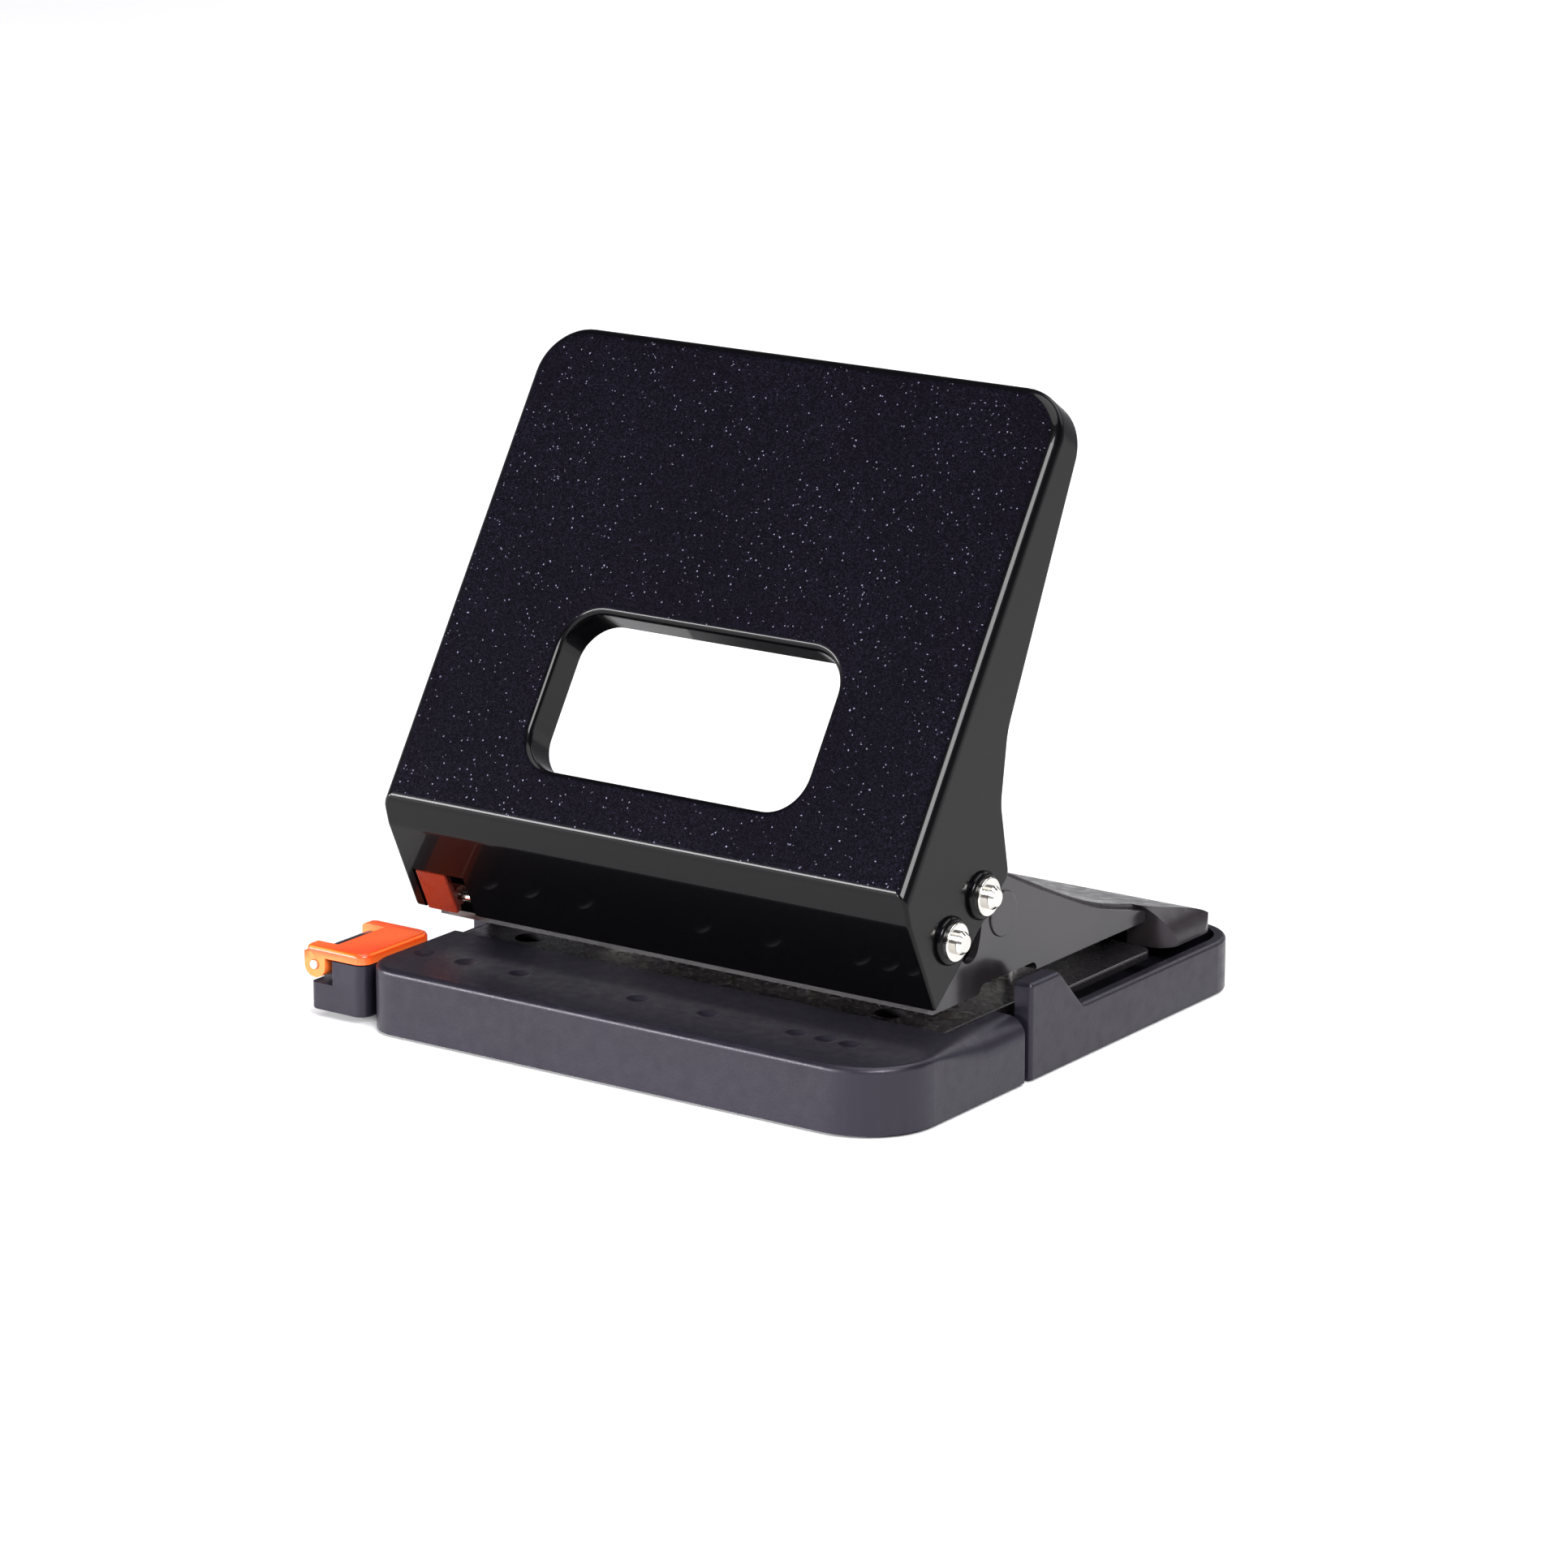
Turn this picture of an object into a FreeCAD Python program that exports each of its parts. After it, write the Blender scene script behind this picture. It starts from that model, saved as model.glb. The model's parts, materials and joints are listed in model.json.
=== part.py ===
import FreeCAD, Part
import os
from math import cos, sin, radians, pi
from FreeCAD import Vector

# Desk paper punch with two cutters, a wide folded steel lever and a pull-out paper guide.
# X runs along the width (lever's middle plane at X = 0), Y from the front edge to the back, Z up.
# Everything is drawn with Y = 0 at the front face and Z = 0 at the plastic's underside, and is
# moved on export, so the origin is on the table under the centre of the whole punch's outline.

# ---- driving dimensions, mm ----
base_depth = 118.0
base_right = 62.3
shelf_left = -53.0
shelf_rear = 43.0
tray_front = 44.5
wall = 2.2
floor = 1.8
shelf_top = 12.2
die_seat = 9.7
die_thick = 1.5
die_front = 26.8
foot_drop = 0.6

jaw_low = 15.5
jaw_thick = 1.2
frame_half = 54.3
frame_wall = 1.6
jaw_front = 25.3
jaw_rear = 95.2

side_round = 4.6
dents_x = (-47.7, -38.2, -25.9, 0.5, 15.8, 34.9, 41.0, 46.1)
shelf_screw_spots = [(x, 38.4) for x in (-50.0, -22.0, 22.0, 50.0)]
frame_rivet_spots = [(x, y) for x in (-34.0, 34.0) for y in (70.0, 86.0)]

hole_spacing = 80.0
cutter_y = 33.4
cutter_r = 2.75
cutter_tip = 16.2

pivot_y = 26.1
pivot_z = 29.3
press_y = 36.0
press_z = 35.1
pivot_r = 2.1
press_r = 2.1
fit = 0.05

lever_half = 57.2
lever_sheet = 1.6
lever_tilt = 57.1
crease_y = 12.1
crease_z = 40.5
lever_long = 94.6
lever_round = 10.0
window_half = 30.2
window_low = 10.4
window_high = 40.7
window_deep = 7.5
window_round = 7.5

lock_y = 23.4
lock_z = 20.4
lock_pin_r = 0.9
lock_left = -54.7
lock_wide = 7.1

wall_low = 9.7
stop_top = 17.6
stop_flat_end = 54.0
stop_ramp_end = 61.7
stop_inner = 58.8
tray_round = 10.0

hood_half = 52.0
hood_wide = 59.0
hood_rear = 113.4
hood_front = 45.6
hood_skin = 1.8

guide_y0 = 1.8
guide_y1 = 22.0
guide_x0 = -66.2
guide_x1 = -53.7
latch_pin_x = -65.2
latch_pin_z = 9.6
latch_pin_r = 0.9
latch_left = -67.6

jaw_top = jaw_low + jaw_thick
die_top = die_seat + die_thick
frame_inner = frame_half - frame_wall
lever_inner = lever_half - lever_sheet
washer_x = lever_half + 1.0
washer_thick = 0.8
press_arm = ((press_y - pivot_y) ** 2 + (press_z - pivot_z) ** 2) ** 0.5
cutters = {"left": -hole_spacing / 2, "right": hole_spacing / 2}


# ---- small helpers ----
def save(shape, node):
    """Move a finished shape into the export frame and write its STEP file."""
    moved = shape.copy()
    moved.translate(Vector(-(latch_left + base_right) / 2, -base_depth / 2, foot_drop))
    moved.exportStep("parts/" + node + ".step")


def box(x0, y0, z0, x1, y1, z1):
    return Part.makeBox(x1 - x0, y1 - y0, z1 - z0, Vector(x0, y0, z0))


def rod(radius, start, end):
    a = Vector(*start)
    b = Vector(*end)
    return Part.makeCylinder(radius, (b - a).Length, a, b - a)


def outline(points):
    """Closed wire through (a, b, radius) corners, each rounded with a tangent arc."""
    spots = [Vector(p[0], p[1], 0) for p in points]
    count = len(spots)
    starts = []
    ends = []
    mids = []
    for i, here in enumerate(spots):
        radius = points[i][2]
        back = (spots[i - 1] - here).normalize()
        ahead = (spots[(i + 1) % count] - here).normalize()
        half = back.getAngle(ahead) / 2
        if radius < 1e-6 or abs(half - pi / 2) < 1e-4:
            starts.append(here)
            ends.append(here)
            mids.append(None)
            continue
        reach = radius * cos(half) / sin(half)
        middle = (back + ahead).normalize()
        centre = here + middle * (radius / sin(half))
        starts.append(here + back * reach)
        ends.append(here + ahead * reach)
        mids.append(centre - middle * radius)
    edges = []
    for i in range(count):
        if mids[i] is not None:
            edges.append(Part.Arc(starts[i], mids[i], ends[i]).toShape())
        after = starts[(i + 1) % count]
        if (after - ends[i]).Length > 1e-5:
            edges.append(Part.makeLine(ends[i], after))
    return Part.Wire(edges)


def plan_block(points, z0, z1):
    """Extrude an outline drawn in X, Y from z0 up to z1."""
    face = Part.Face(outline(points))
    face.translate(Vector(0, 0, z0))
    return face.extrude(Vector(0, 0, z1 - z0))


def side_block(points, x0, x1):
    """Extrude an outline drawn in Y, Z from x0 to x1."""
    face = Part.Face(outline(points))
    turn = FreeCAD.Placement(Vector(x0, 0, 0), FreeCAD.Rotation(Vector(1, 1, 1), 120))
    face.Placement = turn.multiply(face.Placement)
    return face.extrude(Vector(x1 - x0, 0, 0))


def front_block(points, y0, y1):
    """Extrude an outline drawn in X, Z from y0 to y1."""
    face = Part.Face(outline(points))
    face.rotate(Vector(0, 0, 0), Vector(1, 0, 0), 90)
    face.translate(Vector(0, y0, 0))
    return face.extrude(Vector(0, y1 - y0, 0))


def soften(shape, radius, wanted):
    """Fillet the edges that pass the test, one by one if they can't be done together."""
    edges = [e for e in shape.Edges if wanted(e.BoundBox)]
    if not edges:
        return shape
    try:
        done = shape.makeFillet(radius, edges)
        if done.isValid() and done.Volume > 0:
            return done
    except Exception:
        pass
    return shape


def both_sides(shape):
    """The shape and its mirror image across the middle plane."""
    return Part.makeCompound([shape, shape.mirror(Vector(0, 0, 0), Vector(1, 0, 0))])


def join(shapes):
    return shapes[0].multiFuse(shapes[1:]).removeSplitter()


# ---- base: front shelf, dies, upper frame ----
def front_shelf():
    body = plan_block([(shelf_left, 0, 7.0), (base_right, 0, 14.0),
                       (base_right, shelf_rear, 0.6), (shelf_left, shelf_rear, 0.6)], 0, shelf_top)
    body = soften(body, 1.1, lambda b: b.ZMin > shelf_top - 0.01 and b.YMin < shelf_rear - 1)
    cavity = plan_block([(shelf_left + wall, wall, 5.0), (base_right - wall, wall, 11.8),
                         (base_right - wall, shelf_rear + 1, 0), (shelf_left + wall, shelf_rear + 1, 0)],
                        floor, die_seat - 1.6)
    lowered = box(shelf_left - 1, die_front - 0.2, die_top - 0.3, 56.4, shelf_rear + 1, 20)
    seat = box(shelf_left + 0.9, die_front - 0.2, die_seat, frame_half, shelf_rear + 1, 20)
    body = body.cut(cavity).cut(lowered).cut(seat)
    for x in dents_x:
        body = body.cut(Part.makeSphere(4.5, Vector(x, 11.9, shelf_top + 3.95)))
    for x in cutters.values():
        body = body.cut(rod(5.0, (x, cutter_y, die_seat - 3), (x, cutter_y, die_seat + 1)))
    for x, y in shelf_screw_spots:
        body = body.cut(rod(1.4, (x, y, die_seat - 6), (x, y, die_seat + 1)))
    body = body.cut(side_rounding())
    slot = box(shelf_left - 1, 7.5, 2.4, shelf_left + wall + 1, 17.5, 4.4)
    return body.cut(slot)


def side_rounding():
    """Cutter for the top edge of the shelf's right side, whose rounding grows towards the slit."""
    sections = []
    for y, radius in ((15.0, 1.15), (30.0, side_round), (shelf_rear + 1, side_round)):
        corner = Vector(base_right + 0.5, y, shelf_top + 0.5)
        centre = Vector(base_right - radius, y, shelf_top - radius)
        start = centre + Vector(0, 0, radius)
        end = centre + Vector(radius, 0, 0)
        mid = centre + Vector(radius * cos(pi / 4), 0, radius * sin(pi / 4))
        over = start + Vector(0, 0, 0.5)
        out = end + Vector(0.5, 0, 0)
        points = [start, over, corner, out, end]
        edges = [Part.makeLine(a, b) for a, b in zip(points, points[1:])]
        sections.append(Part.Wire(edges + [Part.Arc(end, mid, start).toShape()]))
    return join([Part.makeLoft(sections[0:2], True, True), Part.makeLoft(sections[1:3], True, True)])


def die_plate():
    plate = plan_block([(shelf_left + 1.1, die_front, 1.0), (frame_half - 0.3, die_front, 1.0),
                        (frame_half - 0.3, 60.0, 1.0), (57.2, 63.0, 1.0), (57.2, 94.0, 3.0),
                        (-57.2, 94.0, 3.0), (-57.2, 63.0, 1.0), (shelf_left + 1.1, 60.0, 1.0)],
                       die_seat, die_top)
    plate = soften(plate, 0.4, lambda b: b.ZMin > die_top - 0.01 and b.YMax < die_front + 1.2)
    for x in cutters.values():
        plate = plate.cut(rod(cutter_r + fit, (x, cutter_y, 0), (x, cutter_y, 20)))
    for x, y in shelf_screw_spots:
        plate = plate.cut(rod(1.4, (x, y, 0), (x, y, 20)))
        plate = plate.cut(Part.makeCone(1.4, 2.6, 1.2, Vector(x, y, die_top - 1.2)))
    for x, y in frame_rivet_spots:
        plate = plate.cut(rod(1.5, (x, y, 0), (x, y, 20)))
    return plate


def shelf_screws():
    group = []
    for x, y in shelf_screw_spots:
        head = Part.makeCone(1.4, 2.6, 1.2, Vector(x, y, die_top - 1.2))
        shank = rod(1.4, (x, y, die_top - 7.0), (x, y, die_top - 1.2))
        cross = join([box(x - 1.5, y - 0.25, die_top - 0.5, x + 1.5, y + 0.25, die_top + 1),
                      box(x - 0.25, y - 1.5, die_top - 0.5, x + 0.25, y + 1.5, die_top + 1)])
        group.append(join([head, shank]).cut(cross))
    return Part.makeCompound(group)


def throat_spacer():
    block = plan_block([(-47, 62, 2), (47, 62, 2), (47, 93, 2), (-47, 93, 2)], die_top, jaw_low)
    for x, y in frame_rivet_spots:
        block = block.cut(rod(1.5, (x, y, 0), (x, y, 20)))
    return block


def frame_rivets():
    group = []
    for x, y in frame_rivet_spots:
        shank = rod(1.5, (x, y, die_seat - 0.9), (x, y, jaw_top + 0.6))
        low = rod(2.9, (x, y, die_seat - 0.9), (x, y, die_seat))
        top = Part.makeSphere(3.2, Vector(x, y, jaw_top - 2.0))
        top = top.common(box(x - 4, y - 4, jaw_top, x + 4, y + 4, jaw_top + 4))
        group.append(join([shank, low, top]))
    return Part.makeCompound(group)


def gusset_face():
    """Side wall of the upper frame in Y, Z: a lobe round the pivot that sweeps down to the back."""
    ramp = [(95.2, 17.5), (86.0, 19.8), (78.0, 22.2), (67.4, 26.6), (59.5, 30.0), (51.0, 34.0),
            (44.5, 37.6)]
    curve = Part.BSplineCurve()
    curve.interpolate([Vector(y, z, 0) for y, z in ramp])
    lobe = [(44.5, 37.6), (38.5, 41.0), (31.0, 40.2), (24.0, 36.2), (20.2, 30.6), (21.6, 26.0),
            (26.0, 22.6)]
    back = Part.BSplineCurve()
    back.interpolate([Vector(y, z, 0) for y, z in lobe])
    edges = [curve.toShape(), back.toShape(),
             Part.makeLine(Vector(26.0, 22.6, 0), Vector(jaw_front, jaw_low, 0)),
             Part.makeLine(Vector(jaw_front, jaw_low, 0), Vector(95.2, jaw_low, 0)),
             Part.makeLine(Vector(95.2, jaw_low, 0), Vector(95.2, 17.5, 0))]
    face = Part.Face(Part.Wire(edges))
    face.Placement = FreeCAD.Placement(Vector(0, 0, 0), FreeCAD.Rotation(Vector(1, 1, 1), 120))
    return face


def press_slot(x0, x1):
    """Arc slot that lets the press rod swing about the pivot."""
    clear = 0.9
    start = (x0, pivot_y, pivot_z)
    end = (x1, pivot_y, pivot_z)
    ring = rod(press_arm + press_r + clear, start, end).cut(rod(press_arm - press_r - clear, start, end))
    high = radians(32.0)
    low = radians(-22.0)
    reach = 40.0
    wedge_points = [(pivot_y, pivot_z, 0),
                    (pivot_y + reach * cos(low), pivot_z + reach * sin(low), 0),
                    (pivot_y + reach * cos(high), pivot_z + reach * sin(high), 0)]
    slot = ring.common(side_block(wedge_points, x0, x1))
    ends = []
    for angle in (high, low):
        y = pivot_y + press_arm * cos(angle)
        z = pivot_z + press_arm * sin(angle)
        ends.append(rod(press_r + clear, (x0, y, z), (x1, y, z)))
    return join([slot] + ends)


def upper_frame():
    jaw = plan_block([(-frame_half, jaw_front, 1.5), (frame_half, jaw_front, 1.5),
                      (frame_half, jaw_rear, 3.0), (-frame_half, jaw_rear, 3.0)], jaw_low, jaw_top)
    gusset = gusset_face().extrude(Vector(frame_wall, 0, 0))
    gusset.translate(Vector(frame_inner, 0, 0))
    boss = rod(4.2, (frame_half - 0.4, 47.4, 28.6), (frame_half + 0.35, 47.4, 28.6))
    gusset = gusset.fuse(soften(boss, 0.25, lambda b: b.XMin > frame_half + 0.3))
    gusset = gusset.cut(press_slot(frame_inner - 1, frame_half + 1))
    gusset = gusset.cut(rod(pivot_r + fit, (frame_inner - 1, pivot_y, pivot_z),
                            (frame_half + 1, pivot_y, pivot_z)))
    other = gusset.mirror(Vector(0, 0, 0), Vector(1, 0, 0))
    frame = join([jaw, gusset, other])
    relief = side_block([(40.2, jaw_low - 2, 0), (40.2, jaw_low + 1.6, 1.5), (58.6, jaw_low + 1.6, 1.5),
                         (58.6, jaw_low - 2, 0)], 50.6, frame_half + 2)
    frame = frame.cut(relief).cut(relief.mirror(Vector(0, 0, 0), Vector(1, 0, 0)))
    for x in cutters.values():
        frame = frame.cut(rod(3.8, (x, cutter_y, 10), (x, cutter_y, 20)))
    for x, y in frame_rivet_spots:
        frame = frame.cut(rod(1.5, (x, y, 10), (x, y, 20)))
    return frame


def guide_sleeves():
    group = []
    for x in cutters.values():
        tube = rod(3.8, (x, cutter_y, jaw_low), (x, cutter_y, 19.4))
        flange = rod(4.1, (x, cutter_y, jaw_top), (x, cutter_y, jaw_top + 0.5))
        tube = join([tube, flange])
        group.append(tube.cut(rod(cutter_r + fit, (x, cutter_y, 0), (x, cutter_y, 30))))
    return Part.makeCompound(group)


def hood_profile(inset, low, front):
    """Hood outline in Y, Z: a ramp that rises from the back to a rounded brow behind the lever."""
    top = [(hood_rear - inset, low + 0.6), (hood_rear - 0.8 - inset, 12.6), (110.0 - inset, 14.6),
           (105.0, 16.2 - inset), (97.4, 17.8 - inset), (84.7, 21.0 - inset), (72.9, 25.4 - inset), (59.3, 31.6 - inset),
           (52.0 + inset / 2, 34.8 - inset)]
    if low > 14:
        top = [(97.4, 17.8 - inset)] + top[5:]
    curve = Part.BSplineCurve()
    curve.interpolate([Vector(y, z, 0) for y, z in top])
    brow = [Vector(top[-1][0], top[-1][1], 0), Vector(front + 1.6, 36.3 - inset, 0),
            Vector(front, 33.8 - inset, 0)]
    nose = Part.BSplineCurve()
    nose.interpolate(brow)
    first = Vector(top[0][0], top[0][1], 0)
    foot = Vector(top[0][0], low, 0)
    heel = Vector(front, low, 0)
    edges = [curve.toShape(), nose.toShape(), Part.makeLine(brow[-1], heel), Part.makeLine(heel, foot),
             Part.makeLine(foot, first)]
    face = Part.Face(Part.Wire(edges))
    face.Placement = FreeCAD.Placement(Vector(0, 0, 0), FreeCAD.Rotation(Vector(1, 1, 1), 120))
    return face


def slab(face, half):
    solid = face.extrude(Vector(2 * half, 0, 0))
    solid.translate(Vector(-half, 0, 0))
    return solid


def rear_cover():
    low = die_top - 0.6
    whole = slab(hood_profile(0, low, hood_front), hood_wide)
    keep_rear = plan_block([(-hood_wide, jaw_rear + 0.4, 4.0), (hood_wide, jaw_rear + 0.4, 4.0),
                            (hood_wide, hood_rear, 5.0), (-hood_wide, hood_rear, 5.0)], low, 60)
    keep_rear = keep_rear.common(front_block([(-hood_wide, low - 1, 0), (hood_wide, low - 1, 0),
                                              (hood_wide, 18.2, 7.0), (-hood_wide, 18.2, 7.0)], 90, 116))
    keep_ramp = box(-hood_half, hood_front - 1, jaw_top, hood_half, jaw_rear + 2, 60)
    shell = whole.common(join([keep_rear, keep_ramp]))
    shell = soften(shell, 1.2, lambda b: b.ZMin > jaw_top + 0.3 and b.XMax - b.XMin < 0.01
                   and b.YMax - b.YMin > 6)
    hollow = slab(hood_profile(hood_skin, low - 1, hood_front + hood_skin), hood_half - hood_skin)
    hollow = hollow.cut(box(-70, 0, 0, 70, hood_front + hood_skin, 60))
    wide = slab(hood_profile(hood_skin, low - 1, hood_front + hood_skin), hood_wide - hood_skin)
    inner = hood_wide - hood_skin
    wide = wide.common(front_block([(-inner, low - 2, 0), (inner, low - 2, 0),
                                    (inner, 16.4, 5.2), (-inner, 16.4, 5.2)], 90, 116))
    wide = wide.common(plan_block([(-hood_wide + hood_skin, jaw_rear + 0.4 + hood_skin, 2.2),
                                   (hood_wide - hood_skin, jaw_rear + 0.4 + hood_skin, 2.2),
                                   (hood_wide - hood_skin, hood_rear - hood_skin, 3.2),
                                   (-hood_wide + hood_skin, hood_rear - hood_skin, 3.2)], low - 1, 60))
    return shell.cut(hollow).cut(wide)


def living_hinge():
    return box(-50, shelf_rear, 0.5, 50, tray_front - 0.3, 1.2)


def guide_channel():
    rails = []
    for y0, y1, lip0, lip1 in ((5.9, 7.5, 5.9, 8.7), (17.5, 19.1, 16.3, 19.1)):
        upright = box(-50.6, y0, floor, 46, y1, 5.2)
        lip = box(-50.6, lip0, 4.5, 46, lip1, 5.2)
        rails.append(join([upright, lip]))
    rib = box(-50.6, 11.5, floor, 46, 13.5, 2.55)
    return Part.makeCompound(rails + [rib])


def feet(spots):
    pads = [rod(5.0, (x, y, -foot_drop), (x, y, 0)) for x, y in spots]
    return Part.makeCompound([soften(p, 0.3, lambda b: b.ZMax < -foot_drop + 0.01) for p in pads])


# ---- chip tray: back half of the plastic base, bends down at the slit ----
def chip_tray():
    corners = [(-base_right, tray_front, 0.8), (base_right, tray_front, 0.8),
               (base_right, base_depth, tray_round), (-base_right, base_depth, tray_round)]
    full = plan_block(corners, 0, stop_top)
    side_view = side_block([(tray_front - 1, -1, 0), (tray_front - 1, stop_top, 0), (stop_flat_end, stop_top, 2.0),
                            (stop_ramp_end, wall_low, 2.0), (base_depth + 1, wall_low, 0),
                            (base_depth + 1, -1, 0)], -70, 70)
    tray = full.common(side_view)
    inner = base_right - wall
    low_room = plan_block([(-inner, tray_front - 2, 0), (inner, tray_front - 2, 0),
                           (inner, base_depth - wall, tray_round - wall),
                           (-inner, base_depth - wall, tray_round - wall)], floor, 40)
    cheek = box(stop_inner, tray_front, floor, base_right - wall + 0.1, stop_ramp_end + 1.5, stop_top)
    cheek = cheek.common(side_view).common(full)
    tray = join([tray.cut(low_room), cheek, cheek.mirror(Vector(0, 0, 0), Vector(1, 0, 0))])
    tray = soften(tray, 0.8, lambda b: b.ZMin > wall_low - 0.2 and b.XMax - b.XMin < 0.01
                  and abs(abs(b.XMax) - base_right) < 0.01)
    return tray


# ---- lever ----
def place_lever(shape):
    """From the lever's own axes (Y up the panel, Z out of its face) to its resting place."""
    shape.rotate(Vector(0, 0, 0), Vector(1, 0, 0), lever_tilt)
    shape.translate(Vector(0, crease_y, crease_z))
    return shape


def lever_point(y, z):
    """The opposite of place_lever for one point in Y, Z."""
    dy = y - crease_y
    dz = z - crease_z
    c = cos(radians(lever_tilt))
    s = sin(radians(lever_tilt))
    return dy * c + dz * s, -dy * s + dz * c


def skirt_point(along, inwards):
    """Corner in Y, Z, measured down the lever's front skirt and in from its outer face."""
    return (13.6 + 0.426 * along + 0.904 * inwards, 34.7 - 0.904 * along + 0.426 * inwards, 0)


def window_block(grow, z0, z1):
    return plan_block([(-window_half - grow, window_low - grow, window_round + grow),
                       (window_half + grow, window_low - grow, window_round + grow),
                       (window_half + grow, window_high + grow, window_round + grow),
                       (-window_half - grow, window_high + grow, window_round + grow)], z0, z1)


def handle_shell():
    sheet = lever_sheet
    side = [(0, 0, 0), (-4.0, -4.4, 6.0), (-14.4, -20.9, 0.8), (14.7, -29.8, 2.5), (24.6, -20.3, 9.0),
            (36.3, -15.0, 14.0), (87.0, -8.2, 4.0), (lever_long, -7.4, 0), (lever_long, 0, 0)]
    outer = side_block(side, -lever_half, lever_half)
    outer = soften(outer, lever_round, lambda b: b.YMin > lever_long - 0.01 and b.XMax - b.XMin < 0.01)
    edge_r = 2.4
    outer = soften(outer, edge_r, lambda b: b.ZMin > -0.01)
    outer = soften(outer, 0.7, lambda b: b.YMax < -2.0 and b.ZMin > -21.5 and b.XMax - b.XMin < 0.01)
    inside = [(0.75, -sheet, 0), (-2.65, -5.25, 5.0), (-15.7, -26.0, 0), (-15.7, -50.0, 0),
              (lever_long - sheet, -50.0, 0), (lever_long - sheet, -sheet, 0)]
    inner = side_block(inside, -lever_inner, lever_inner)
    inner = soften(inner, lever_round - sheet,
                   lambda b: b.YMin > lever_long - sheet - 0.01 and b.XMax - b.XMin < 0.01)
    inner = soften(inner, 1.0, lambda b: b.ZMin > -sheet - 0.01)
    shell = outer.cut(inner)
    shell = shell.cut(window_block(0, -20, 5))
    shell = soften(shell, 1.3, lambda b: b.ZMin > -0.01 and abs(b.XMax) < window_half + 0.1
                   and b.XMin > -window_half - 0.1 and b.YMin > window_low - 0.1
                   and b.YMax < window_high + 0.1)
    rim = window_block(1.3, -window_deep, -sheet + 0.1).cut(window_block(0, -20, 5))
    rim = soften(rim, 0.5, lambda b: b.ZMax < 0.1 - window_deep)
    shell = join([shell, rim])
    body_side = side_block(side, -70, 70)
    for y, z in ((pivot_y, pivot_z), (press_y, press_z)):
        u, v = lever_point(y, z)
        boss = rod(4.4, (lever_half - 0.2, u, v), (lever_half + 1.0, u, v))
        boss = soften(boss, 0.8, lambda b: b.XMin > lever_half + 0.9)
        boss = boss.common(body_side)
        radius = pivot_r if y == pivot_y else press_r
        shell = shell.fuse(boss).fuse(boss.mirror(Vector(0, 0, 0), Vector(1, 0, 0)))
        shell = shell.cut(rod(radius, (-70, u, v), (70, u, v)))
    u, v = lever_point(lock_y, lock_z)
    shell = shell.cut(rod(lock_pin_r, (-70, u, v), (-50, u, v)))
    notch = side_block([skirt_point(10.0, -2), skirt_point(26, -2), skirt_point(26, 2.5), skirt_point(10.0, 2.5)],
                       lock_left - 0.3, lock_left + lock_wide + 4.4)
    return place_lever(shell.removeSplitter()).cut(notch)


def rivet_end(x, y, z, radius, way):
    """Peened head that sits outside the washer at x, pointing along way (+1 or -1)."""
    stem = rod(radius, (x, y, z), (x + way * 0.9, y, z))
    taper = Part.makeCone(radius, radius * 0.72, 0.7, Vector(x + way * 0.9, y, z), Vector(way, 0, 0))
    return join([stem, taper])


def pivot_rivets():
    shank = rod(pivot_r, (frame_inner - 0.2, pivot_y, pivot_z), (washer_x + washer_thick, pivot_y, pivot_z))
    head = rod(4.0, (frame_inner - 1.7, pivot_y, pivot_z), (frame_inner - 0.3, pivot_y, pivot_z))
    head = soften(head, 0.4, lambda b: b.XMax < frame_inner - 1.6)
    neck = rod(pivot_r, (frame_inner - 0.4, pivot_y, pivot_z), (frame_inner, pivot_y, pivot_z))
    dome = rivet_end(washer_x + washer_thick, pivot_y, pivot_z, 2.1, 1)
    return both_sides(join([shank, neck, head, dome]))


def press_rod():
    end = washer_x + washer_thick
    bar = rod(press_r, (-end, press_y, press_z), (end, press_y, press_z))
    return join([bar, rivet_end(end, press_y, press_z, 2.1, 1), rivet_end(-end, press_y, press_z, 2.1, -1)])


def washers(y, z, radius):
    ring = rod(3.5, (washer_x, y, z), (washer_x + washer_thick, y, z))
    ring = soften(ring, 0.25, lambda b: b.XMin > washer_x + washer_thick - 0.01)
    ring = ring.cut(rod(radius, (washer_x - 1, y, z), (washer_x + 3, y, z)))
    return both_sides(ring)


# ---- cutters ----
def punch_pin(x):
    shaft = rod(cutter_r, (x, cutter_y, cutter_tip), (x, cutter_y, 32.2))
    notch = front_block([(x - 4, cutter_tip - 1, 0), (x + 4, cutter_tip - 1, 0), (x, cutter_tip + 1.6, 0)],
                        cutter_y - 4, cutter_y + 4)
    hollow = rod(1.1, (x, cutter_y, cutter_tip - 1), (x, cutter_y, cutter_tip + 4.5))
    return shaft.cut(notch).cut(hollow)


def punch_head(x):
    y0 = 29.4
    y1 = 42.4
    block = side_block([(y0, 29.5, 1.0), (y1, 31.0, 2.0), (y1, 39.6, 3.4), (y0 + 1.2, 39.6, 3.4)],
                       x - 4.2, x + 4.2)
    clear = 0.4
    swing = press_arm - (press_y - pivot_y)
    half_high = press_r + clear
    slot = side_block([(press_y - half_high, press_z - half_high, half_high - 0.01),
                       (press_y + swing + half_high, press_z - half_high, half_high - 0.01),
                       (press_y + swing + half_high, press_z + half_high, half_high - 0.01),
                       (press_y - half_high, press_z + half_high, half_high - 0.01)], x - 6, x + 6)
    block = soften(block, 0.6, lambda b: abs(b.XMax - b.XMin) < 0.01)
    block = block.cut(slot)
    return block.cut(rod(cutter_r, (x, cutter_y, 25), (x, cutter_y, 32.2)))


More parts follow.
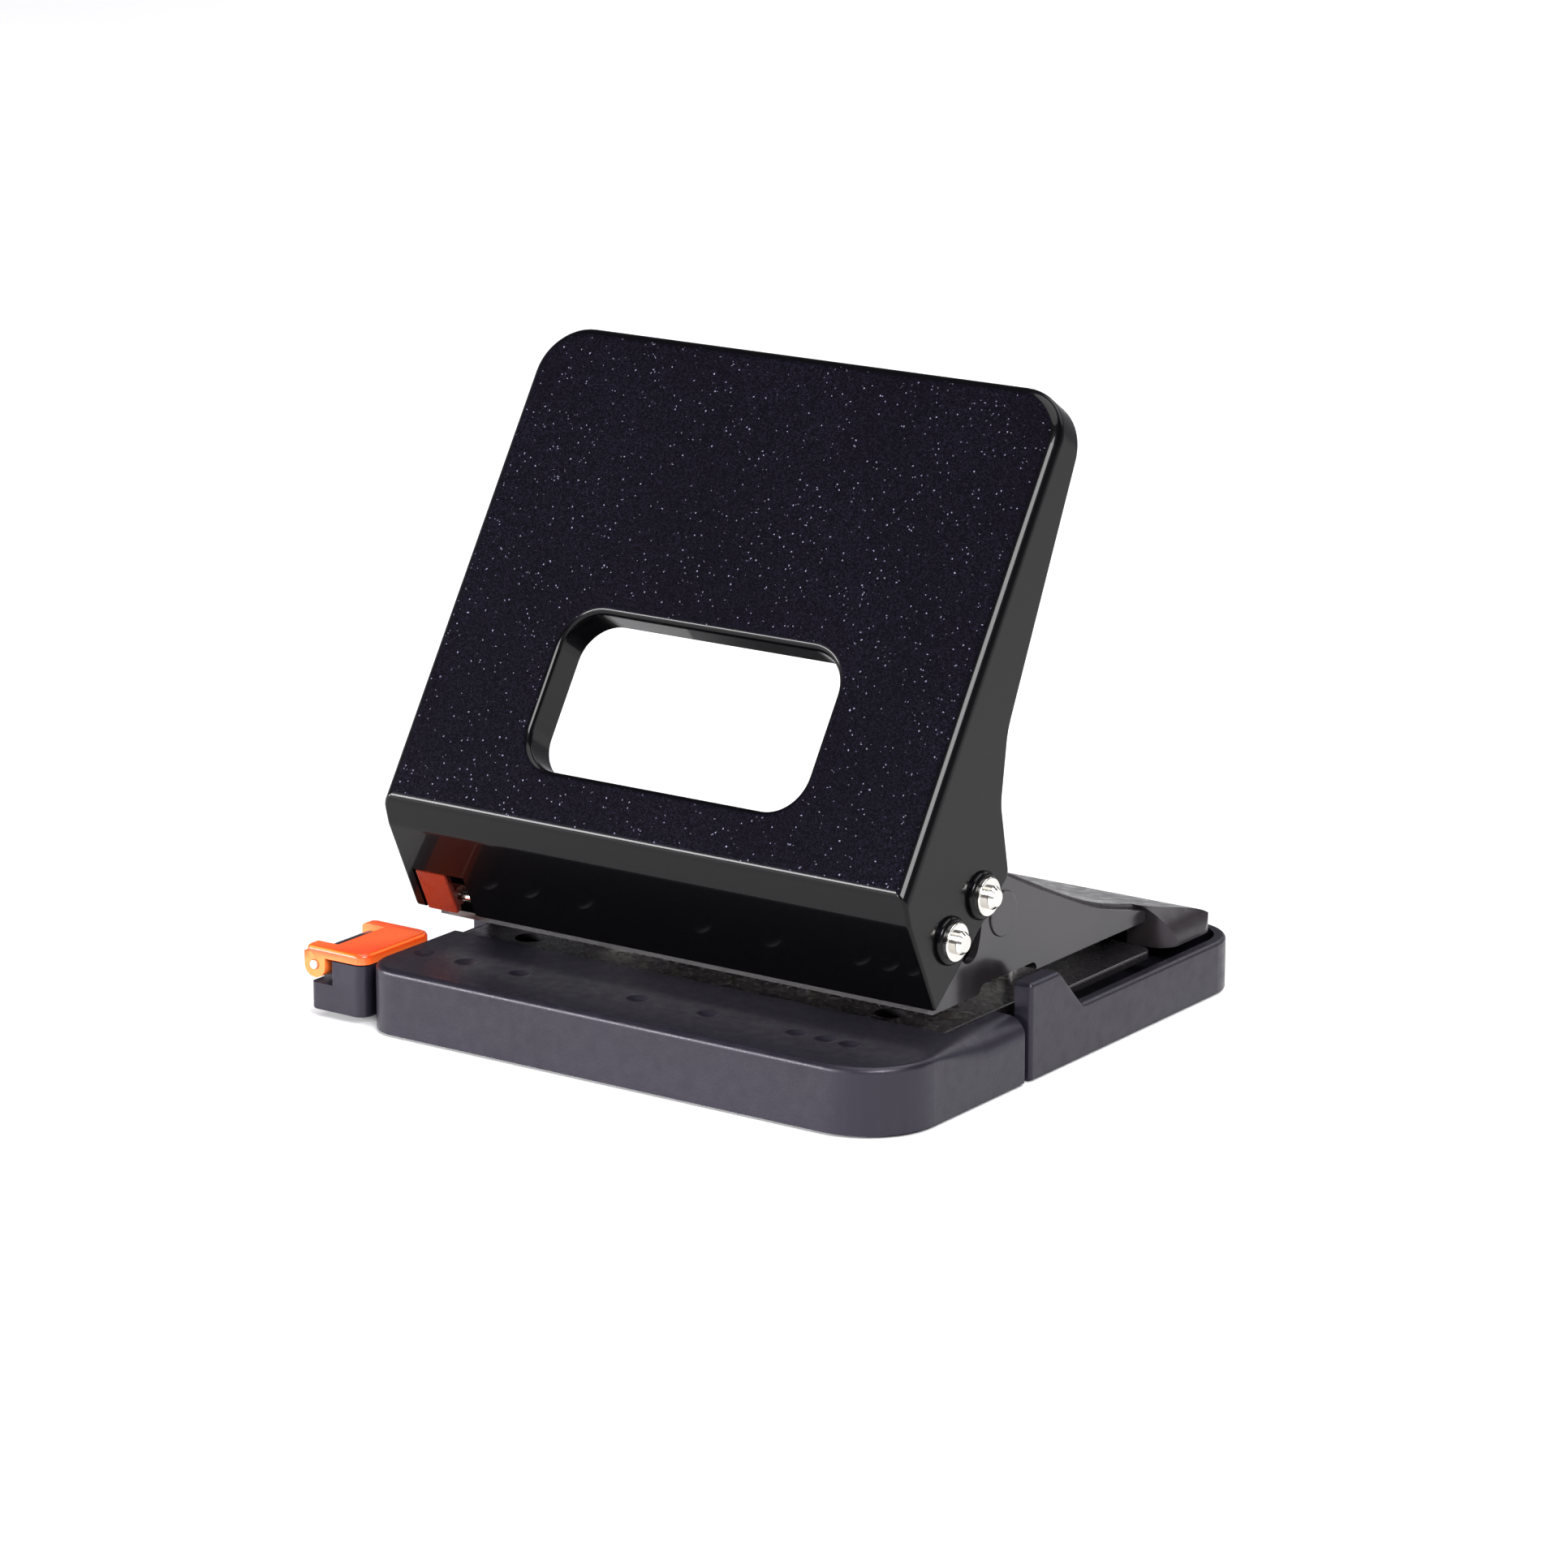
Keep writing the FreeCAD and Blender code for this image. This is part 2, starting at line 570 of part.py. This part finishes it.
def return_spring(x):
    wire = 0.4
    radius = 4.75
    low = jaw_top + 0.05 + wire
    high = 29.4 - wire
    helix = Part.makeHelix((high - low) / 4.5, high - low, radius)
    profile = Part.Wire([Part.makeCircle(wire, Vector(radius, 0, 0), Vector(0, 1, 0))])
    coil = Part.Wire(helix.Edges).makePipeShell([profile], True, True)
    coil.translate(Vector(x, cutter_y, low))
    return coil


# ---- paper guide ----
def guide_ruler():
    strip = plan_block([(guide_x0 + 5.4, 8.0, 0.5), (40.0, 8.0, 1.5), (40.0, 17.0, 1.5),
                        (guide_x0 + 5.4, 17.0, 0.5)], 2.8, 4.0)
    ticks = []
    for i in range(19):
        x = -46.0 + 4.0 * i
        long_tick = 3.0 if i % 5 == 0 else 1.8
        ticks.append(box(x - 0.15, 8.4, 3.85, x + 0.15, 8.4 + long_tick, 4.5))
    return strip.cut(Part.makeCompound(ticks))


def guide_block():
    top = 10.8
    step_x = -61.3
    main = plan_block([(step_x, guide_y0, 0.5), (guide_x1, guide_y0, 2.5), (guide_x1, guide_y1, 2.5),
                       (step_x, guide_y1, 0.5)], 1.0, top)
    low = plan_block([(guide_x0, guide_y0, 1.2), (step_x + 1, guide_y0, 0), (step_x + 1, guide_y1, 0),
                      (guide_x0, guide_y1, 1.2)], 1.0, 6.2)
    barrel = rod(2.3, (latch_pin_x, 5.6, latch_pin_z), (latch_pin_x, 18.2, latch_pin_z))
    web = box(latch_pin_x - 0.9, 5.6, 5.5, latch_pin_x + 2.3, 18.2, latch_pin_z)
    bridge = box(latch_pin_x, 5.6, 5.5, step_x + 1, 18.2, latch_pin_z + 1.2)
    body = join([main, low, barrel, web, bridge])
    body = soften(body, 0.5, lambda b: b.ZMax < 1.01)
    body = body.cut(rod(latch_pin_r, (latch_pin_x, 0, latch_pin_z), (latch_pin_x, 30, latch_pin_z)))
    return body.cut(box(guide_x0 + 5.4, 8.0, 2.8, -50, 17.0, 4.0))


def guide_hinge_pin():
    pin = rod(latch_pin_r, (latch_pin_x, 1.4, latch_pin_z), (latch_pin_x, 22.4, latch_pin_z))
    return soften(pin, 0.25, lambda b: b.YMax < 1.41 or b.YMin > 22.39)


def guide_latch():
    low = 11.05
    top = 13.0
    plate = plan_block([(latch_left, guide_y0 + 0.1, 1.5), (guide_x1 + 0.1, guide_y0 + 0.1, 2.5),
                        (guide_x1 + 0.1, guide_y1 - 0.1, 2.5), (latch_left, guide_y1 - 0.1, 1.5)], low, top)
    plate = soften(plate, 0.8, lambda b: b.ZMin > top - 0.01)
    body = [plate]
    for y0, y1 in ((guide_y0 + 0.1, 5.2), (18.6, guide_y1 - 0.1)):
        eye = front_block([(latch_left, low + 0.8, 0), (latch_left, latch_pin_z - 2.5, 2.3),
                           (latch_pin_x + 2.4, latch_pin_z - 2.5, 2.3),
                           (latch_pin_x + 2.4, low + 0.8, 0)], y0, y1)
        body.append(eye)
    latch = join(body)
    gap = box(-70, 5.2, latch_pin_z - 4, latch_pin_x + 2.9, 18.6, top + 1)
    latch = latch.cut(gap)
    return latch.cut(rod(latch_pin_r + fit, (latch_pin_x, 0, latch_pin_z), (latch_pin_x, 30, latch_pin_z)))


# ---- lever lock ----
def lock_slider():
    """Tab that lies in the skirt's notch, with a lug that slides on the lock pin."""
    tab = side_block([skirt_point(10.5, 0.15), skirt_point(19.3, 0.15), skirt_point(19.3, 1.5),
                      skirt_point(10.5, 1.5)], lock_left, lock_left + lock_wide)
    tab = soften(tab, 0.4, lambda b: b.XMax - b.XMin < 0.01)
    lug = rod(1.9, (-52.0, lock_y, lock_z), (-48.2, lock_y, lock_z))
    return join([tab, lug]).cut(rod(lock_pin_r + fit, (-60, lock_y, lock_z), (-40, lock_y, lock_z)))


def lock_pin():
    shank = rod(lock_pin_r, (-lever_half, lock_y, lock_z), (-43.6, lock_y, lock_z))
    head = rod(1.14, (-43.8, lock_y, lock_z), (-42.8, lock_y, lock_z))
    return join([shank, soften(head, 0.2, lambda b: b.XMin > -42.9)])


def main():
    os.makedirs("parts", exist_ok=True)
    save(front_shelf(), "front_shelf")
    save(die_plate(), "die_plate")
    save(shelf_screws(), "shelf_screws")
    save(throat_spacer(), "throat_spacer")
    save(frame_rivets(), "frame_rivets")
    save(upper_frame(), "upper_frame")
    save(guide_sleeves(), "guide_sleeves")
    save(rear_cover(), "rear_cover")
    save(living_hinge(), "living_hinge")
    save(guide_channel(), "guide_channel")
    save(feet([(-40, 10), (44, 12)]), "front_feet")
    save(chip_tray(), "chip_tray")
    save(feet([(-48, 104), (48, 104)]), "rear_feet")
    save(handle_shell(), "handle_shell")
    save(pivot_rivets(), "pivot_rivets")
    save(washers(pivot_y, pivot_z, pivot_r), "pivot_washers")
    save(press_rod(), "press_rod")
    save(washers(press_y, press_z, press_r), "press_washers")
    save(lock_pin(), "lock_pin")
    save(lock_slider(), "lock_slider")
    for side, x in cutters.items():
        save(punch_pin(x), "punch_pin_" + side)
        save(punch_head(x), "punch_head_" + side)
        save(return_spring(x), "return_spring_" + side)
    save(guide_ruler(), "guide_ruler")
    save(guide_block(), "guide_block")
    save(guide_hinge_pin(), "guide_hinge_pin")
    save(guide_latch(), "guide_latch")


main()
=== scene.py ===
import json
from math import cos, pi, radians, sin

import bpy
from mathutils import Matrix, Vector


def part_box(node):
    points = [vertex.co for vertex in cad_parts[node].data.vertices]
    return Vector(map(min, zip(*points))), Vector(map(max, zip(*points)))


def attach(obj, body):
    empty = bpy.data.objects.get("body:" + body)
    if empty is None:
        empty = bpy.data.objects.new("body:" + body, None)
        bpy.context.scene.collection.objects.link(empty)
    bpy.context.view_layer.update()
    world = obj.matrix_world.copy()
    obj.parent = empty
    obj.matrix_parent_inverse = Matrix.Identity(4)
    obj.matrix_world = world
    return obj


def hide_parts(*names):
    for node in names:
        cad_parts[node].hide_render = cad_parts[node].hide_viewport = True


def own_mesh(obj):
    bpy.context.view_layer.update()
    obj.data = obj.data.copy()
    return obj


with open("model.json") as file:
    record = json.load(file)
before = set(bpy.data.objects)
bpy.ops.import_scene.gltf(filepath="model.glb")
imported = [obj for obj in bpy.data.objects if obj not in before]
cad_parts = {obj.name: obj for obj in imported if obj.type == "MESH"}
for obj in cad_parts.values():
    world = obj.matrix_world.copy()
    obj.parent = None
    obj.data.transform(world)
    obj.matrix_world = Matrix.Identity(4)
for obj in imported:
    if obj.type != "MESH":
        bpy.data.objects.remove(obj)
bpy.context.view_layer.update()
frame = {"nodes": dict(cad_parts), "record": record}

# Desk paper punch: finishes, return springs, floor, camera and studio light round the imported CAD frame.
# Units are metres.

scene = bpy.context.scene
scene.view_settings.view_transform = "Standard"
nodes = frame["nodes"]


# ---- node helpers ----
class Finish:
    """One procedural material, with short calls for the nodes used most."""

    def __init__(self, name, color, rough, metallic=0.0):
        self.mat = bpy.data.materials.new(name)
        self.mat.use_nodes = True
        self.tree = self.mat.node_tree
        self.shader = self.tree.nodes["Principled BSDF"]
        self.shader.inputs["Base Color"].default_value = (*color, 1)
        self.shader.inputs["Roughness"].default_value = rough
        self.shader.inputs["Metallic"].default_value = metallic
        self.spot = self.tree.nodes.new("ShaderNodeTexCoord").outputs["Object"]

    def link(self, a, b):
        self.tree.links.new(a, b)

    def node(self, kind, **values):
        made = self.tree.nodes.new(kind)
        for key, value in values.items():
            setattr(made, key, value)
        return made

    def noise(self, scale, detail=3.0, stretch=(1, 1, 1)):
        shape = self.node("ShaderNodeMapping")
        shape.inputs["Scale"].default_value = stretch
        self.link(self.spot, shape.inputs["Vector"])
        made = self.node("ShaderNodeTexNoise")
        made.inputs["Scale"].default_value = scale
        made.inputs["Detail"].default_value = detail
        self.link(shape.outputs["Vector"], made.inputs["Vector"])
        return made.outputs["Fac"]

    def cells(self, scale):
        """One random value from 0 to 1 for each small cell."""
        made = self.node("ShaderNodeTexVoronoi")
        made.inputs["Scale"].default_value = scale
        self.link(self.spot, made.inputs["Vector"])
        split = self.node("ShaderNodeSeparateColor")
        self.link(made.outputs["Color"], split.inputs["Color"])
        return split.outputs[0]

    def spread(self, value, low, high, new_low, new_high):
        made = self.node("ShaderNodeMapRange")
        made.inputs["From Min"].default_value = low
        made.inputs["From Max"].default_value = high
        made.inputs["To Min"].default_value = new_low
        made.inputs["To Max"].default_value = new_high
        self.link(value, made.inputs["Value"])
        return made.outputs["Result"]

    def blend(self, factor, a, b):
        made = self.node("ShaderNodeMix", data_type="RGBA")
        self.link(factor, made.inputs["Factor"])
        for socket, value in ((made.inputs[6], a), (made.inputs[7], b)):
            if isinstance(value, tuple):
                socket.default_value = (*value, 1)
            else:
                self.link(value, socket)
        return made.outputs[2]

    def worn_edges(self):
        """0 on flat and hollow places, rising to 1 on the sharper outer edges."""
        return self.spread(self.node("ShaderNodeNewGeometry").outputs["Pointiness"], 0.52, 0.6, 0, 1)

    def bump(self, height, distance):
        made = self.node("ShaderNodeBump")
        made.inputs["Strength"].default_value = 1.0
        made.inputs["Distance"].default_value = distance
        self.link(height, made.inputs["Height"])
        self.link(made.outputs["Normal"], self.shader.inputs["Normal"])

    def color(self, value):
        self.link(value, self.shader.inputs["Base Color"])

    def rough(self, value):
        self.link(value, self.shader.inputs["Roughness"])

    def coat(self, weight, rough):
        self.shader.inputs["Coat Weight"].default_value = weight
        self.shader.inputs["Coat Roughness"].default_value = rough


def moulded(name, dark, light, rough, grain=2600, depth=0.00003):
    """Spark-eroded moulded plastic: fine grain, slow colour drift and slightly polished edges."""
    f = Finish(name, dark, rough)
    drift = f.spread(f.noise(38, 4), 0.35, 0.65, 0, 1)
    body = f.blend(drift, dark, light)
    edge = tuple(c * 1.25 + 0.001 for c in light)
    f.color(f.blend(f.worn_edges(), body, edge))
    f.rough(f.spread(f.noise(420, 5), 0.3, 0.7, rough - 0.05, rough + 0.07))
    f.bump(f.noise(grain, 4), depth)
    f.shader.inputs["Specular IOR Level"].default_value = 0.34
    f.shader.inputs["Specular Tint"].default_value = (0.93, 0.87, 1.0, 1)
    return f.mat


panel_facing = (0, -0.840, 0.543)  # the way the lever's front panel faces at rest


def lever_paint():
    """Near-black metallic paint with painted light: the front panel, found by the way its surface faces, is
    painted lighter, with bright flake specks as painted glints. The folds, sides and nose are the same
    paint painted near-black as painted shade.
    """
    f = Finish("lever_metallic", (0.008, 0.0072, 0.012), 0.3)
    facing = f.node("ShaderNodeVectorMath", operation="DOT_PRODUCT")
    facing.inputs[1].default_value = panel_facing
    f.link(f.node("ShaderNodeTexCoord").outputs["Normal"], facing.inputs[0])
    # painted light mask: 1 where the surface faces like the front panel, which gets the lighter flaked
    # colour, 0 on the folds, sides and nose
    lit_panel = f.spread(facing.outputs["Value"], 0.9, 0.999, 0, 1)
    flake = f.cells(4200)
    mist = f.cells(4600)
    drift = f.spread(f.noise(30, 2), 0.3, 0.7, 0, 1)
    shade = f.blend(drift, (0.0042, 0.0036, 0.0070), (0.0070, 0.0062, 0.0118))
    base = f.blend(f.spread(mist, 0.45, 1.0, 0, 1), (0.0016, 0.0013, 0.0025), shade)
    # the paint's real metal flakes, drawn as bright specks of colour: painted glints
    flake_glint = f.spread(flake, 0.991, 1.0, 0, 1)
    sparkle = f.blend(flake_glint, base, (0.15, 0.142, 0.205))
    # folds, sides and nose: the same paint painted almost black, as painted shade
    f.color(f.blend(lit_panel, (0.0009, 0.0008, 0.0011), sparkle))
    f.bump(f.noise(240, 2), 0.000005)
    f.coat(0.24, 0.03)
    f.shader.inputs["Specular IOR Level"].default_value = 0.05
    return f.mat


def enamel(name, color, rough):
    """Sprayed gloss enamel with a thin clear coat."""
    f = Finish(name, color, rough)
    drift = f.spread(f.noise(60, 3), 0.35, 0.65, 0, 1)
    f.color(f.blend(drift, color, tuple(c * 1.6 for c in color)))
    f.rough(f.spread(f.noise(300, 4), 0.3, 0.7, rough - 0.03, rough + 0.05))
    f.bump(f.noise(520, 3), 0.00001)
    f.coat(0.25, 0.1)
    f.shader.inputs["Specular IOR Level"].default_value = 0.28
    return f.mat


def die_enamel():
    """Black enamel, worn through to bare steel along the plate's front edge."""
    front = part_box("die_plate")[0].y
    black = (0.010, 0.009, 0.010)
    f = Finish("die_enamel_worn_edge", black, 0.22)
    place = f.node("ShaderNodeSeparateXYZ")
    f.link(f.spot, place.inputs["Vector"])
    ragged = f.node("ShaderNodeMath", operation="MULTIPLY_ADD")
    f.link(f.noise(900, 3), ragged.inputs[0])
    ragged.inputs[1].default_value = 0.0006
    f.link(place.outputs["Y"], ragged.inputs[2])
    bare = f.spread(ragged.outputs["Value"], front + 0.0009, front + 0.0012, 1, 0)
    f.color(f.blend(bare, black, (0.72, 0.69, 0.64)))
    f.link(bare, f.shader.inputs["Metallic"])
    f.rough(f.spread(f.noise(600, 4), 0.3, 0.7, 0.2, 0.32))
    return f.mat


def metal(name, color, rough, stretch=(1, 1, 1)):
    """Plated or ground steel: slow staining, and fine grain that stretch draws out into brushing."""
    grain = 900
    f = Finish(name, color, rough, 1.0)
    stain = f.spread(f.noise(150, 4), 0.3, 0.7, 0, 1)
    f.color(f.blend(stain, tuple(c * 0.82 for c in color), color))
    f.rough(f.spread(f.noise(grain, 4, stretch), 0.3, 0.7, rough - 0.07, rough + 0.1))
    f.bump(f.noise(grain, 3, stretch), 0.000008)
    return f.mat


def gloss_orange(name, dark, light, edge):
    """Smooth moulded plastic that lets a little light into itself and is paler on its edges."""
    f = Finish(name, light, 0.3)
    drift = f.spread(f.noise(90, 3), 0.3, 0.7, 0, 1)
    f.color(f.blend(f.worn_edges(), f.blend(drift, dark, light), edge))
    f.rough(f.spread(f.noise(500, 4), 0.3, 0.7, 0.24, 0.36))
    f.bump(f.noise(1500, 3), 0.000003)
    f.shader.inputs["Subsurface Weight"].default_value = 0.06
    f.shader.inputs["Subsurface Radius"].default_value = (0.002, 0.0008, 0.0003)
    return f.mat


finishes = {
    "base_plastic": moulded("base_plastic_slate", (0.0055, 0.0048, 0.0082), (0.008, 0.007, 0.012), 0.36),
    "cover_plastic": moulded("cover_plastic_black", (0.008, 0.0065, 0.0075), (0.012, 0.0098, 0.011), 0.3,
                             2200, 0.00001),
    "guide_plastic": moulded("guide_plastic_slate", (0.007, 0.0062, 0.0105), (0.010, 0.009, 0.015), 0.33),
    "orange_plastic": gloss_orange("orange_plastic_gloss", (0.62, 0.045, 0.004), (0.72, 0.062, 0.006),
                                   (0.85, 0.16, 0.03)),
    "lever_paint": lever_paint(),
    "black_enamel": enamel("frame_enamel_black", (0.010, 0.0085, 0.0095), 0.2),
    "zinc_steel": metal("zinc_plated_steel", (0.66, 0.65, 0.62), 0.3, (1, 6, 6)),
    "bright_steel": metal("nickel_bright", (0.70, 0.68, 0.64), 0.15),
    "tool_steel": metal("ground_tool_steel", (0.55, 0.55, 0.57), 0.24, (1, 1, 14)),
    "rubber": moulded("rubber_black", (0.018, 0.018, 0.019), (0.026, 0.026, 0.027), 0.75, 1400, 0.00005),
}

# ---- every CAD node takes the finish of its record slot, or its own variant of it ----
special = {
    "die_plate": die_enamel(),
    # lock slider: the orange plastic copied much darker, as painted shade for the shadow it sits in under
    # the lever's nose
    "lock_slider": gloss_orange("orange_plastic_painted_shade", (0.07, 0.005, 0.002), (0.09, 0.007, 0.003),
                                (0.13, 0.012, 0.005)),
}
for part in frame["record"]["subparts"]:
    name = part["node"]
    piece = nodes[name]
    slots = piece.data.materials
    slots.clear()
    slots.append(special.get(name) or finishes[part["material_slot"]])
    for face in piece.data.polygons:
        face.material_index = 0


# ---- return springs: coils under the cutter heads ----
def return_spring(side, wire=0.0004, turns=4.5, closed_turn=0.75):
    """Coil with closed ends in the CAD spring's own box. It stands on the frame."""
    low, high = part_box("return_spring_" + side)
    center = (low + high) / 2
    radius = (high.x - low.x) / 2 - wire
    height = high.z - low.z - 2 * wire
    closed_rise = 2.1 * wire
    steps, sides = 216, 12
    rings = []
    for i in range(steps + 1):
        turn = turns * i / steps
        if turn < closed_turn:
            rise = closed_rise * turn / closed_turn
        elif turn > turns - closed_turn:
            rise = height - closed_rise * (turns - turn) / closed_turn
        else:
            share = (turn - closed_turn) / (turns - 2 * closed_turn)
            rise = closed_rise + share * (height - 2 * closed_rise)
        angle = 2 * pi * turn
        for k in range(sides):
            around = 2 * pi * k / sides
            reach = radius + wire * cos(around)
            rings.append((center.x + reach * cos(angle), center.y + reach * sin(angle),
                          low.z + wire + rise + wire * sin(around)))
    faces = []
    for i in range(steps):
        for k in range(sides):
            a, b = i * sides + k, i * sides + (k + 1) % sides
            faces.append((a, a + sides, b + sides, b))
    faces.append(tuple(range(sides)))
    faces.append(tuple(reversed(range(steps * sides, (steps + 1) * sides))))
    mesh = bpy.data.meshes.new("spring_" + side)
    mesh.from_pydata(rings, [], faces)
    mesh.shade_smooth()
    coil = bpy.data.objects.new("spring_" + side, mesh)
    scene.collection.objects.link(coil)
    mesh.materials.append(finishes["bright_steel"])
    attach(coil, "frame")
    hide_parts("return_spring_" + side)
    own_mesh(coil)


for side in ("left", "right"):
    return_spring(side)

# ---- floor, camera, light ----
floor_mesh = bpy.data.meshes.new("floor")
reach = 9.0
floor_mesh.from_pydata([(-reach, -reach, 0), (reach, -reach, 0), (reach, reach, 0), (-reach, reach, 0)], [],
                       [(0, 1, 2, 3)])
floor = bpy.data.objects.new("floor", floor_mesh)
scene.collection.objects.link(floor)
paper = Finish("floor_paper", (0.86, 0.86, 0.87), 0.9)
mottle = paper.spread(paper.noise(6, 3), 0.35, 0.65, 0, 1)
paper.color(paper.blend(mottle, (0.85, 0.85, 0.86), (0.87, 0.87, 0.88)))
floor_mesh.materials.append(paper.mat)

lens = bpy.data.cameras.new("camera")
lens.lens = 133.94
lens.sensor_width = 36.0
lens.clip_start = 0.01
lens.clip_end = 60.0
camera = bpy.data.objects.new("camera", lens)
camera.location = (0.59233, -0.83793, 0.32080)
camera.rotation_euler = (radians(90 - 15.24), 0, radians(35.18))
scene.collection.objects.link(camera)
scene.camera = camera


middle = Vector((0, 0, 0.05))


def softbox(name, spot, wide, high, power):
    """A rectangular light that faces the middle of the punch and isn't seen itself."""
    data = bpy.data.lights.new(name, "AREA")
    data.shape = "RECTANGLE"
    data.size = wide
    data.size_y = high
    data.energy = power
    lamp = bpy.data.objects.new(name, data)
    lamp.location = spot
    way = middle - Vector(spot)
    lamp.rotation_euler = way.to_track_quat("-Z", "Y").to_euler()
    lamp.visible_camera = False
    scene.collection.objects.link(lamp)


softbox("left_front_box", (-0.75, -1.05, 0.30), 1.3, 0.22, 40.0)
softbox("right_box", (0.92, -0.62, 0.80), 0.6, 0.5, 24.0)
softbox("back_fill", (0.3, 1.5, 0.9), 1.4, 0.6, 5.0)

sun = bpy.data.lights.new("overhead", "SUN")
sun.energy = 2.6
sun.angle = radians(55)
overhead = bpy.data.objects.new("overhead", sun)
overhead.rotation_euler = Vector((-0.12, -0.18, -0.97)).to_track_quat("-Z", "Y").to_euler()
scene.collection.objects.link(overhead)

world = bpy.data.worlds.new("studio")
scene.world = world
world.use_nodes = True
tree = world.node_tree
spot = tree.nodes.new("ShaderNodeTexCoord")
split = tree.nodes.new("ShaderNodeSeparateXYZ")
ramp = tree.nodes.new("ShaderNodeValToRGB")
tree.links.new(spot.outputs["Generated"], split.inputs["Vector"])
tree.links.new(split.outputs["Z"], ramp.inputs["Fac"])
horizon, zenith = ramp.color_ramp.elements
horizon.position = 0.02
horizon.color = (0.40, 0.39, 0.42, 1)
zenith.position = 0.4
zenith.color = (0.06, 0.055, 0.07, 1)
tree.links.new(ramp.outputs["Color"], tree.nodes["Background"].inputs["Color"])
tree.nodes["Background"].inputs["Strength"].default_value = 1.0
